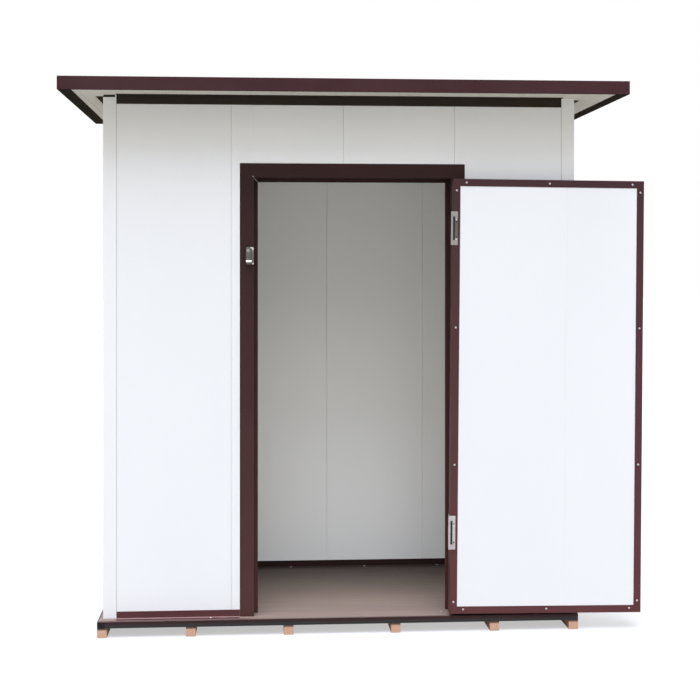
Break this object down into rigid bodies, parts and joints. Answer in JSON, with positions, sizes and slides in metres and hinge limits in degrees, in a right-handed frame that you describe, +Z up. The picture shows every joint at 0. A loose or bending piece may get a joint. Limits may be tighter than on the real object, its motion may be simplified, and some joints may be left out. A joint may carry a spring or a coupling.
{
  "type": "storage shed",
  "caption": "Flat-roofed storage shed of white insulated panels with brown folded trims, on a timber-battened floor deck, with a side-hung door leaf.",
  "frame": {"origin": "on the ground, at the middle of the underside of the fourth batten, which lies 226 mm right of the middle of the walls and half way from front to back", "axes": "+X to the right along the front, +Y from the front to the back, +Z up; the doorway faces -Y"},
  "size_m": [2.457, 1.362, 2.3175],
  "materials": {
    "white_panel": "smooth white coated steel sheet, semi-gloss",
    "white_trim": "folded white coated steel",
    "roof_sheet": "ribbed pale grey coated steel sheet",
    "brown_trim": "dark brown coated steel, semi-gloss",
    "roof_trim": "dark red-brown coated steel, semi-gloss",
    "door_trim": "red-brown coated steel, semi-gloss",
    "floor_board": "brown wood-grain faced board with a light sheen",
    "raw_timber": "raw sawn softwood",
    "hinge_steel": "brushed steel"
  },
  "bodies": {
    "shed": {"back_wall_left": "white_panel", "back_wall_right": "white_panel", "base_angles_back": "brown_trim", "base_angles_front_left": "brown_trim", "base_angles_front_right": "brown_trim", "base_angles_sides": "brown_trim", "batten_1": "raw_timber", "batten_2": "raw_timber", "batten_3": "raw_timber", "batten_4": "raw_timber", "batten_5": "raw_timber", "batten_6": "raw_timber", "corner_trim_back_left": "white_trim", "corner_trim_back_right": "white_trim", "corner_trim_front_left": "white_trim", "corner_trim_front_right": "white_trim", "deck_edge_back": "brown_trim", "deck_edge_front": "brown_trim", "deck_edge_left": "brown_trim", "deck_edge_right": "brown_trim", "door_frame_head": "brown_trim", "door_jamb_left": "brown_trim", "door_jamb_right": "brown_trim", "floor_board": "floor_board", "front_wall_left": "white_panel", "front_wall_over_door": "white_panel", "front_wall_right": "white_panel", "hinge_jamb_plates": "hinge_steel", "latch_keeper": "hinge_steel", "left_wall": "white_panel", "right_wall": "white_panel", "roof_edge_back": "roof_trim", "roof_edge_front": "roof_trim", "roof_edge_left": "roof_trim", "roof_edge_right": "roof_trim", "roof_panel": "roof_sheet", "top_angles_back": "brown_trim", "top_angles_front": "brown_trim", "top_angles_sides": "brown_trim"},
    "door": {"door_latch": "hinge_steel", "door_panel": "white_panel", "door_trim_bottom": "door_trim", "door_trim_hinge_side": "door_trim", "door_trim_latch_side": "door_trim", "door_trim_top": "door_trim", "hinge_door_plates": "hinge_steel"}
  },
  "joints": [
    {"name": "door_swing", "type": "hinge", "parent": "shed", "child": "door", "pos_m": [0.2343, -0.509, 1.0625], "axis": [-0.0044, 0, -1], "range_deg": [0, 180]}
  ]
}
